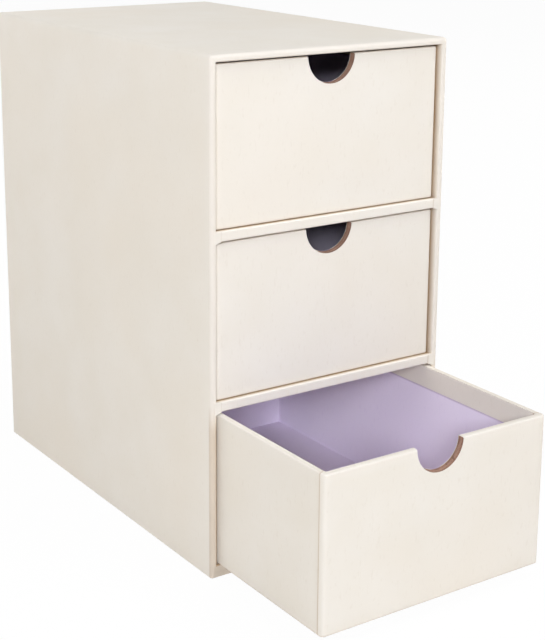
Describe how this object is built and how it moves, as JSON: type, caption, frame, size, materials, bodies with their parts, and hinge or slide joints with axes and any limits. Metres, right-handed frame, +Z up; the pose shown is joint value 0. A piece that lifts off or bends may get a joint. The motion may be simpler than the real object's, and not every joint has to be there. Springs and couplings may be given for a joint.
{
  "type": "drawer storage box",
  "caption": "Desktop drawer box of paper-covered rigid board: upright case with shelves and pull-out tray drawers, each with a half-round thumb notch and a lilac lining.",
  "frame": {"origin": "centre of the case's base, on the surface that the box stands on", "axes": "+Z up, -Y to the front where the drawers come out, +X to the right seen from the front"},
  "size_m": [0.16, 0.359, 0.2921],
  "materials": {
    "raw_board": "matte",
    "cover_paper": "matte",
    "lining_paper": "matte"
  },
  "bodies": {
    "case": {"case_left_board": "raw_board", "case_right_board": "raw_board", "case_top_board": "raw_board", "case_bottom_board": "raw_board", "case_back_board": "raw_board", "upper_shelf_board": "raw_board", "lower_shelf_board": "raw_board", "case_wrap": "cover_paper", "case_back_sheet": "cover_paper", "case_base_sheet": "cover_paper", "case_lining": "cover_paper", "case_back_lining": "cover_paper", "upper_shelf_wrap": "cover_paper", "lower_shelf_wrap": "cover_paper", "shelf_end_tabs": "cover_paper"},
    "bottom_drawer": {"bottom_drawer_front_board": "raw_board", "bottom_drawer_back_board": "raw_board", "bottom_drawer_left_board": "raw_board", "bottom_drawer_right_board": "raw_board", "bottom_drawer_floor_board": "raw_board", "bottom_drawer_front_sheet": "cover_paper", "bottom_drawer_side_wrap": "cover_paper", "bottom_drawer_wall_lining": "lining_paper", "bottom_drawer_floor_lining": "lining_paper", "bottom_drawer_base_sheet": "cover_paper"},
    "middle_drawer": {"middle_drawer_front_board": "raw_board", "middle_drawer_back_board": "raw_board", "middle_drawer_left_board": "raw_board", "middle_drawer_right_board": "raw_board", "middle_drawer_floor_board": "raw_board", "middle_drawer_front_sheet": "cover_paper", "middle_drawer_side_wrap": "cover_paper", "middle_drawer_wall_lining": "lining_paper", "middle_drawer_floor_lining": "lining_paper", "middle_drawer_base_sheet": "cover_paper"},
    "top_drawer": {"top_drawer_front_board": "raw_board", "top_drawer_back_board": "raw_board", "top_drawer_left_board": "raw_board", "top_drawer_right_board": "raw_board", "top_drawer_floor_board": "raw_board", "top_drawer_front_sheet": "cover_paper", "top_drawer_side_wrap": "cover_paper", "top_drawer_wall_lining": "lining_paper", "top_drawer_floor_lining": "lining_paper", "top_drawer_base_sheet": "cover_paper"}
  },
  "joints": [
    {"name": "bottom_drawer_slide", "type": "slide", "parent": "case", "child": "bottom_drawer", "axis": [0, -1, 0], "range_m": [-0.1, 0.115]},
    {"name": "middle_drawer_slide", "type": "slide", "parent": "case", "child": "middle_drawer", "axis": [0, -1, 0], "range_m": [0, 0.215]},
    {"name": "top_drawer_slide", "type": "slide", "parent": "case", "child": "top_drawer", "axis": [0, -1, 0], "range_m": [0, 0.215]}
  ]
}
